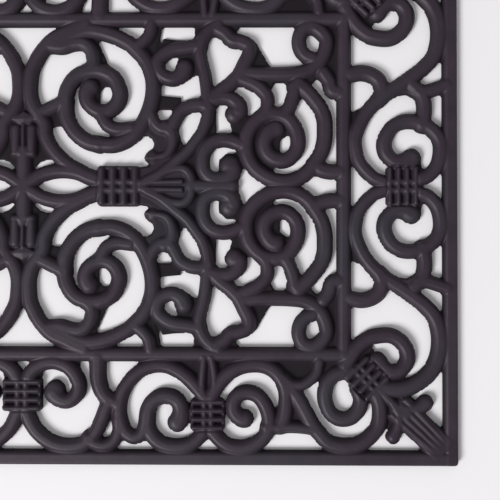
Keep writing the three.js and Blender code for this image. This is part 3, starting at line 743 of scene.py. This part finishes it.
def make_relief(x, y):
    relief = Relief(x, y)
    half_length, half_width = MAT_LENGTH / 2, MAT_WIDTH / 2
    rim_x, rim_y = half_length - RIM_FLAT, half_width - RIM_FLAT
    frame_y = -FIELD_WIDTH - FRAME_OFFSET
    rim_reach = RIM_WIDTH - RIM_FLAT
    rim_profile = (rim_reach, RIM_HEIGHT, RIM_FLANK_START)
    frame_profile = (FRAME_WIDTH / 2, BAR_HEIGHT, FLANK_START)
    bars = [
        ("rim_front", [[-PAST_MIDDLE, -rim_y], [rim_x, -rim_y]], rim_profile),
        ("rim_right", [[rim_x, -rim_y], [rim_x, PAST_MIDDLE]], rim_profile),
        ("frame_front", [[-PAST_MIDDLE, frame_y], [FIELD_LENGTH, frame_y]], frame_profile),
        ("frame_right", [[FIELD_LENGTH, frame_y], [FIELD_LENGTH, PAST_MIDDLE]], frame_profile),
    ]
    for name, line, (half, top, flank_start) in bars:
        relief.strand(name, np.array(line, float), half, top, flank_start=flank_start)
    for name, strands in STRANDS.items():
        for strand in strands:
            add_strand(relief, name, *strand)
    for name, middle, radius in KNOBS:
        centre = drawn([middle, middle])
        relief.strand(name, centre, radius, KNOB_HEIGHT)
    for name, webs in WEBS.items():
        for corners, height in webs:
            relief.web(name, drawn(corners), height)
    add_leaf(relief)
    add_bud(relief)
    add_diamond(relief)
    for collar in COLLARS:
        add_collar(relief, *collar)
    to_edge = inside_mat(relief.points)
    relief.inside = np.minimum(relief.inside, to_edge)
    relief.height -= EDGE_DROP * np.clip(1 - to_edge / EDGE_REACH, 0, 1) ** 2
    return relief


# The grid of the quarter, with its edge vertices moved onto the outline
corner_sets = [(0, 0), (1, 0), (1, 1), (0, 1)]
step_x = MAT_LENGTH / 2 / GRID_X
step_y = MAT_WIDTH / 2 / GRID_Y
grid_x, grid_y = np.meshgrid(np.arange(GRID_X + 1) * step_x, -np.arange(GRID_Y + 1) * step_y, indexing="ij")
first = make_relief(grid_x, grid_y)
inside = first.inside.reshape(grid_x.shape)
slope_x = np.gradient(inside, axis=0) / step_x
slope_y = -np.gradient(inside, axis=1) / step_y
steep = np.maximum(slope_x ** 2 + slope_y ** 2, LEAST_STEEPNESS)
moved = np.abs(inside) < SNAP_SHARE * step_x
moved[-1, :] = False
moved[:, -1] = False
shift = np.where(moved, -inside / steep, 0)
most_move = MOST_MOVE_SHARE * step_x
shift = np.clip(shift, -most_move, most_move)
move_x = shift * slope_x
move_y = shift * slope_y
move_x[0, :] = 0
move_y[:, 0] = 0


def at_corners(values):
    return np.stack([values[i:GRID_X + i, j:GRID_Y + j] for i, j in corner_sets])


def turned_over():
    """The grid points of cells which the moves have folded or nearly flattened."""
    x, y = at_corners(grid_x + move_x), at_corners(grid_y + move_y)
    to_next = np.roll(x, -1, 0) - x, np.roll(y, -1, 0) - y
    to_last = np.roll(x, 1, 0) - x, np.roll(y, 1, 0) - y
    area = to_next[1] * to_last[0] - to_next[0] * to_last[1]
    folded = (area < LEAST_CORNER * step_x * step_y).any(0)
    touched = np.zeros(grid_x.shape, bool)
    for i, j in corner_sets:
        touched[i:GRID_X + i, j:GRID_Y + j] |= folded
    return touched


while (turned_over() & moved).any():
    moved &= ~turned_over()
    move_x[~moved] = 0
    move_y[~moved] = 0
plan_x, plan_y = grid_x + move_x, grid_y + move_y
second = make_relief(plan_x, plan_y)
height = second.finish().reshape(grid_x.shape)
outermost = (grid_x > MAT_LENGTH / 2 - OUTER_BAND) | (grid_y < OUTER_BAND - MAT_WIDTH / 2)
solid = (inside >= 0) | moved | ((inside > ON_OUTLINE) & outermost)

# Which element owns each cell of the quarter
claims = np.stack([at_corners(first.owner[name].reshape(grid_x.shape)).mean(0) for name in ELEMENTS])
claimed = claims > 0
owner = np.where(claimed.any(0), claimed.argmax(0), claims.argmax(0))


def mirrored(values, sign_x=1, sign_y=1, shared=1):
    """The front right quarter spread over the mat, from left to right and from back to front.

    The first row and column lie on the middle lines and are shared, except for cells.
    """
    half = np.concatenate([sign_x * values[shared:][::-1], values])
    return np.concatenate([sign_y * half[:, shared:][:, ::-1], half], axis=1)


# The whole mat
whole_x = mirrored(plan_x, sign_x=-1)
whole_y = mirrored(plan_y, sign_y=-1)
whole_z = mirrored(height)
points = np.stack([whole_x, whole_y, whole_z], axis=2)
solid_whole = mirrored(solid.astype(np.int8)).astype(bool)
owner_whole = mirrored(owner, shared=0)
everywhere = np.ones(owner_whole.shape, bool)
right = ~everywhere
right[GRID_X:] = True
front = ~everywhere
front[:, GRID_Y:] = True

# Corners of each cell, counter-clockwise from above
vertex = np.arange(whole_x.size).reshape(whole_x.shape)
cell_corners = np.stack([vertex[:-1, :-1], vertex[:-1, 1:], vertex[1:, 1:], vertex[1:, :-1]], axis=2)
cell_solid = solid_whole.ravel()[cell_corners]
cell_count = cell_solid.sum(2)
flat_points = points.reshape(-1, 3)


def piece_faces(mask):
    """Top faces of the cells in a mask, as quads and triangles of grid vertices."""
    quads = cell_corners[mask & (cell_count == 4)]
    chosen = mask & (cell_count == 3)
    triangles = cell_corners[chosen][cell_solid[chosen]].reshape(-1, 3)
    return quads, triangles


def normals_of_top():
    """A normal for each vertex, over all cells that are kept, whoever owns them."""
    normals = np.zeros_like(flat_points)
    for faces in piece_faces(everywhere):
        corners = flat_points[faces]
        # Square to the diagonals of a quad, or to the two sides at the last corner of a triangle
        normal = np.cross(corners[:, 2] - corners[:, 0], corners[:, -1] - corners[:, 1])
        for k in range(faces.shape[1]):
            np.add.at(normals, faces[:, k], normal)
    length = np.linalg.norm(normals, axis=1)
    normals[length == 0] = (0, 0, 1)
    length[length == 0] = 1
    return normals / length[:, None]


top_normals = normals_of_top()


def open_edges(quads, triangles):
    """Edges with a face on one side only, which lies on their left."""
    edges = []
    for faces in (quads, triangles):
        size = faces.shape[1]
        edges += [faces[:, [k, (k + 1) % size]] for k in range(size)]
    edges = np.vstack(edges)
    total = whole_x.size
    key = edges[:, 0] * total + edges[:, 1]
    back = edges[:, 1] * total + edges[:, 0]
    return edges[~np.isin(key, back)]


def split_bow_ties(quads, triangles, top, normals):
    """Where two cells of a piece meet only at a corner, each gets a vertex of its own."""
    edges = open_edges(quads, triangles)
    starts, count = np.unique(edges[:, 0], return_counts=True)
    top, normals = [top], [normals]
    total = len(top[0])
    for vertex in starts[count == 2]:
        meeting = [(faces, row) for faces in (quads, triangles)
                   for row in np.flatnonzero((faces == vertex).any(1))]
        for faces, row in meeting[1:]:
            middle = top[0][faces[row]].mean(0)
            own = top[0][vertex] * (1 - SPLIT_SHARE) + middle * SPLIT_SHARE
            faces[row][faces[row] == vertex] = total
            top.append(own[None])
            normals.append(normals[0][vertex][None])
            total += 1
    return np.vstack(top), np.vstack(normals)


def flat_bottom(plan, edges):
    """Triangles that fill the outline of a piece but not its holes, facing down."""
    corners = [Vector(place) for place in plan]
    _, _, faces, origins, _, _ = delaunay_2d_cdt(corners, edges.tolist(), [], INSIDE_ONLY, SAME_PLACE)
    faces = np.array([origin[0] for origin in origins])[np.array(faces)]
    sides = np.concatenate([faces[:, [0, 1]], faces[:, [1, 2]], faces[:, [2, 0]]])
    total = len(plan)
    ahead = sides[:, 0] * total + sides[:, 1]
    behind = sides[:, 1] * total + sides[:, 0]
    outline = edges[:, 0] * total + edges[:, 1]
    # A triangle on the left of an outline edge is rubber, and so is what it meets at a free side
    filled = np.isin(ahead, outline).reshape(3, -1).any(0)
    free = np.flatnonzero(~np.isin(ahead, outline) & ~np.isin(behind, outline) & np.isin(behind, ahead))
    order = np.argsort(ahead)
    across = order[np.searchsorted(ahead[order], behind[free])] % len(faces)
    here = free % len(faces)
    while (filled[across] & ~filled[here]).any():
        filled[here[filled[across]]] = True
    return faces[filled][:, ::-1]


def closed_mesh(name, mask):
    """A piece: the top faces of its cells, upright walls under their outline, and a flat bottom."""
    quads, triangles = piece_faces(mask)
    used, index = np.unique(np.concatenate([quads.ravel(), triangles.ravel()]), return_inverse=True)
    quads = index[:quads.size].reshape(-1, 4)
    triangles = index[quads.size:].reshape(-1, 3)
    top, normals = split_bow_ties(quads, triangles, flat_points[used] * MM, top_normals[used])
    edges = open_edges(quads, triangles)
    count = len(top)
    outline = edges[:, 0]
    place = np.full(count, -1)
    place[outline] = np.arange(len(outline))
    edges = place[edges]
    floor_faces = flat_bottom(top[outline, :2], edges)
    bottom = np.column_stack([top[outline, :2], np.zeros(len(outline))])
    walls = np.column_stack([
        outline[edges[:, 1]], outline[edges[:, 0]], edges[:, 0] + count, edges[:, 1] + count
    ])
    along = bottom[edges[:, 1]] - bottom[edges[:, 0]]
    out = np.column_stack([along[:, 1], -along[:, 0], np.zeros(len(along))])
    out /= np.maximum(np.linalg.norm(out, axis=1), TINY)[:, None]
    # Smooth over the top, square to the outline on the walls, flat below
    faces = [quads, walls, triangles, floor_faces + count]
    face_normals = [
        normals[quads.ravel()], np.repeat(out, 4, axis=0), normals[triangles.ravel()],
        np.tile([0.0, 0.0, -1.0], (floor_faces.size, 1)),
    ]
    loops = np.concatenate([group.ravel() for group in faces])
    sizes = np.concatenate([np.full(len(group), group.shape[1]) for group in faces])
    mesh = bpy.data.meshes.new(name)
    mesh.vertices.add(count + len(bottom))
    mesh.vertices.foreach_set("co", np.vstack([top, bottom]).astype(np.float32).ravel())
    mesh.loops.add(len(loops))
    mesh.loops.foreach_set("vertex_index", loops.astype(np.int32))
    mesh.polygons.add(len(sizes))
    mesh.polygons.foreach_set("loop_start", (np.cumsum(sizes) - sizes).astype(np.int32))
    mesh.update(calc_edges=True)
    mesh.polygons.foreach_set("use_smooth", np.ones(len(sizes), bool))
    mesh.normals_split_custom_set(np.vstack(face_normals))
    return mesh


# Rubber: colours, with painted shade for the low pits and a painted bluish sheen on the crowns, and the
# heights in metres between which the painted pit shade gives way to the crown colours
PAINTED_PIT_SHADE = (0.0058, 0.0024, 0.0064, 1)
WORN_DARK = (0.0232, 0.0137, 0.0238, 1)
WORN_PALE = (0.0350, 0.0220, 0.0357, 1)
# A painted reflection: a bluish sheen laid in patches over the crowns
PAINTED_SHEEN_COLOUR = (0.0290, 0.0280, 0.0365, 1)
FULL_SHADE_LEVEL = 0.0030
NO_SHADE_LEVEL = 0.0062
PIT_ROUGHNESS = 0.8


def node(tree, kind, **inputs):
    made = tree.nodes.new(kind)
    for key, value in inputs.items():
        made.inputs[key.replace("_", " ")].default_value = value
    return made


def rubber_material():
    material = bpy.data.materials.new("moulded_rubber")
    material.use_nodes = True
    tree = material.node_tree
    link = tree.links.new
    shader = tree.nodes["Principled BSDF"]

    place = tree.nodes.new("ShaderNodeTexCoord")
    split = tree.nodes.new("ShaderNodeSeparateXYZ")
    blotch = node(tree, "ShaderNodeTexNoise", Scale=46.0, Detail=5.0, Roughness=0.62)
    patch = node(tree, "ShaderNodeTexNoise", Scale=11.0, Detail=2.0, Roughness=0.5)
    grain = node(tree, "ShaderNodeTexNoise", Scale=1400.0, Detail=3.0, Roughness=0.6)
    speck = node(tree, "ShaderNodeTexVoronoi", Scale=520.0)
    for placed in (split, blotch, patch, grain, speck):
        link(place.outputs["Object"], placed.inputs["Vector"])
    # How low the rubber lies sets the painted shade: the pit colour stands for the shade between the
    # strands
    height = node(tree, "ShaderNodeMapRange", From_Min=FULL_SHADE_LEVEL, From_Max=NO_SHADE_LEVEL)
    height.interpolation_type = "SMOOTHSTEP"
    link(split.outputs["Z"], height.inputs["Value"])

    # Crowns in a random worn tone, with patches of painted bluish sheen, over low pits darkened with
    # painted shade
    worn = tree.nodes.new("ShaderNodeValToRGB")
    worn.color_ramp.elements[0].position = 0.3
    worn.color_ramp.elements[0].color = WORN_DARK
    worn.color_ramp.elements[1].position = 0.72
    worn.color_ramp.elements[1].color = WORN_PALE
    link(blotch.outputs["Fac"], worn.inputs["Fac"])
    # Patches of painted sheen, standing for reflections on the rubber
    painted_sheen_share = node(tree, "ShaderNodeMapRange", From_Min=0.48, From_Max=0.72, To_Max=0.65)
    link(patch.outputs["Fac"], painted_sheen_share.inputs["Value"])
    painted_sheen = tree.nodes.new("ShaderNodeMix")
    painted_sheen.data_type = "RGBA"
    painted_sheen.inputs["B"].default_value = PAINTED_SHEEN_COLOUR
    link(painted_sheen_share.outputs["Result"], painted_sheen.inputs["Factor"])
    link(worn.outputs["Color"], painted_sheen.inputs["A"])
    colour = tree.nodes.new("ShaderNodeMix")
    colour.data_type = "RGBA"
    colour.inputs["A"].default_value = PAINTED_PIT_SHADE
    link(height.outputs["Result"], colour.inputs["Factor"])
    link(painted_sheen.outputs["Result"], colour.inputs["B"])
    link(colour.outputs["Result"], shader.inputs["Base Color"])

    # Crowns are smoother than pits
    crown_rough = node(tree, "ShaderNodeMapRange", From_Min=0.3, From_Max=0.7, To_Min=0.46, To_Max=0.56)
    link(blotch.outputs["Fac"], crown_rough.inputs["Value"])
    rough = tree.nodes.new("ShaderNodeMix")
    rough.inputs["A"].default_value = PIT_ROUGHNESS
    link(height.outputs["Result"], rough.inputs["Factor"])
    link(crown_rough.outputs["Result"], rough.inputs["B"])
    link(rough.outputs["Result"], shader.inputs["Roughness"])

    # Grain, specks and slow waves
    fine = node(tree, "ShaderNodeBump", Strength=0.3, Distance=0.00008)
    link(grain.outputs["Fac"], fine.inputs["Height"])
    pits = node(tree, "ShaderNodeBump", Strength=0.25, Distance=0.0001)
    link(speck.outputs["Distance"], pits.inputs["Height"])
    link(fine.outputs["Normal"], pits.inputs["Normal"])
    wave = node(tree, "ShaderNodeBump", Strength=0.5, Distance=0.0009)
    link(blotch.outputs["Fac"], wave.inputs["Height"])
    link(pits.outputs["Normal"], wave.inputs["Normal"])
    link(wave.outputs["Normal"], shader.inputs["Normal"])
    shader.inputs["Specular IOR Level"].default_value = 0.34
    return material


def copies(kind):
    """For each copy of an element, the end of its name and its part of the mat."""
    sides = {"": everywhere}
    faces = {"": everywhere}
    if kind in ("left_right", "quarters"):
        sides = {"_right": right, "_left": ~right}
    if kind in ("front_back", "quarters"):
        faces = {"_front": front, "_back": ~front}
    return {face + side: a & b for side, a in sides.items() for face, b in faces.items()}


rubber = rubber_material()
scene = bpy.context.scene
for number, (element, kind) in enumerate(ELEMENTS.items()):
    bare_name = element.split("_")[0] if element.startswith(("rim_", "frame_")) else element
    owned = (owner_whole == number) & (cell_count >= 3)
    for ending, area in copies(kind).items():
        name = bare_name + ending
        mesh = closed_mesh(name + "_rubber", owned & area)
        mesh.materials.append(rubber)
        piece = bpy.data.objects.new(name + "_rubber", mesh)
        scene.collection.objects.link(piece)
        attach(piece, "root")
        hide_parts(name)

scene.view_settings.view_transform = "Standard"

# The floor, in metres from the middle of the mat
FADE_START = 0.9
FADE_END = 3.2
FLOOR_REACH = 6.0
FLOOR_LEVEL = -0.0002
FLOOR_COLOUR = (0.885, 0.862, 0.886, 1)

# Light: the white world as the mat sees it and as the camera does, and one lamp, in metres and watts
WORLD_LIGHT = 0.42
WORLD_WHITE = 1.0
LAMP_PLACE = (-3.6, -3.5, 4.5)
LAMP_TARGET = (0.18, -0.05, 0)
LAMP_SIZE = 2.8
LAMP_POWER = 425.0

# The camera looks almost straight down; the photo is square, with this many pixels to a side
PHOTO_PIXELS = 500
SENSOR = 36.0
FOCAL_PIXELS = 793.0
MM_PER_PIXEL = 0.8066
CAMERA_TARGET = (0.18344, -0.05168, 0.004)
TILT_X = math.radians(1.2)
TILT_Y = math.radians(0.65)
ROLL = 0.0018


def floor_material():
    material = bpy.data.materials.new("pale_floor")
    material.use_nodes = True
    tree = material.node_tree
    shader = tree.nodes["Principled BSDF"]
    shader.inputs["Base Color"].default_value = FLOOR_COLOUR
    shader.inputs["Roughness"].default_value = 0.9
    shader.inputs["Specular IOR Level"].default_value = 0.1

    # Far from the mat the floor fades into the white background, for the camera only
    link = tree.links.new
    place = tree.nodes.new("ShaderNodeTexCoord")
    spread = tree.nodes.new("ShaderNodeVectorMath")
    spread.operation = "LENGTH"
    link(place.outputs["Object"], spread.inputs[0])
    far = node(tree, "ShaderNodeMapRange", From_Min=FADE_START, From_Max=FADE_END)
    far.interpolation_type = "SMOOTHSTEP"
    link(spread.outputs["Value"], far.inputs["Value"])
    ray = tree.nodes.new("ShaderNodeLightPath")
    share = tree.nodes.new("ShaderNodeMath")
    share.operation = "MULTIPLY"
    link(far.outputs["Result"], share.inputs[0])
    link(ray.outputs["Is Camera Ray"], share.inputs[1])
    white = tree.nodes.new("ShaderNodeEmission")
    faded = tree.nodes.new("ShaderNodeMixShader")
    link(share.outputs["Value"], faded.inputs["Fac"])
    link(shader.outputs["BSDF"], faded.inputs[1])
    link(white.outputs["Emission"], faded.inputs[2])
    link(faded.outputs["Shader"], tree.nodes["Material Output"].inputs["Surface"])
    return material


floor_mesh = bpy.data.meshes.new("floor")
floor_corners = [(x * FLOOR_REACH, y * FLOOR_REACH, 0) for x, y in ((-1, -1), (1, -1), (1, 1), (-1, 1))]
floor_mesh.from_pydata(floor_corners, [], [(0, 1, 2, 3)])
floor_mesh.materials.append(floor_material())
floor = bpy.data.objects.new("floor", floor_mesh)
floor.location.z = FLOOR_LEVEL
scene.collection.objects.link(floor)

world = bpy.data.worlds.new("studio")
world.use_nodes = True
sky = world.node_tree
background = sky.nodes["Background"]
background.inputs["Color"].default_value = (1, 1, 1, 1)
# The background looks white, but lights the mat more softly
path_kind = sky.nodes.new("ShaderNodeLightPath")
strength = node(sky, "ShaderNodeMapRange", To_Min=WORLD_LIGHT, To_Max=WORLD_WHITE)
sky.links.new(path_kind.outputs["Is Camera Ray"], strength.inputs["Value"])
sky.links.new(strength.outputs["Result"], background.inputs["Strength"])
scene.world = world

lamp_data = bpy.data.lights.new("key", "AREA")
lamp_data.shape = "DISK"
lamp_data.size = LAMP_SIZE
lamp_data.energy = LAMP_POWER
lamp = bpy.data.objects.new("key", lamp_data)
lamp.location = LAMP_PLACE
lamp_way = Vector(LAMP_TARGET) - Vector(LAMP_PLACE)
lamp.rotation_euler = lamp_way.to_track_quat("-Z", "Y").to_euler()
scene.collection.objects.link(lamp)

camera_data = bpy.data.cameras.new("camera")
camera_data.sensor_width = SENSOR
camera_data.lens = FOCAL_PIXELS / PHOTO_PIXELS * SENSOR
camera = bpy.data.objects.new("camera", camera_data)
scene.collection.objects.link(camera)
distance = FOCAL_PIXELS * MM_PER_PIXEL * MM
tilt = Matrix.Rotation(TILT_Y, 3, "Y") @ Matrix.Rotation(TILT_X, 3, "X")
turn = tilt @ Matrix.Rotation(ROLL, 3, "Z")
camera.location = Vector(CAMERA_TARGET) + turn @ Vector((0, 0, distance))
camera.rotation_euler = turn.to_euler()
scene.camera = camera
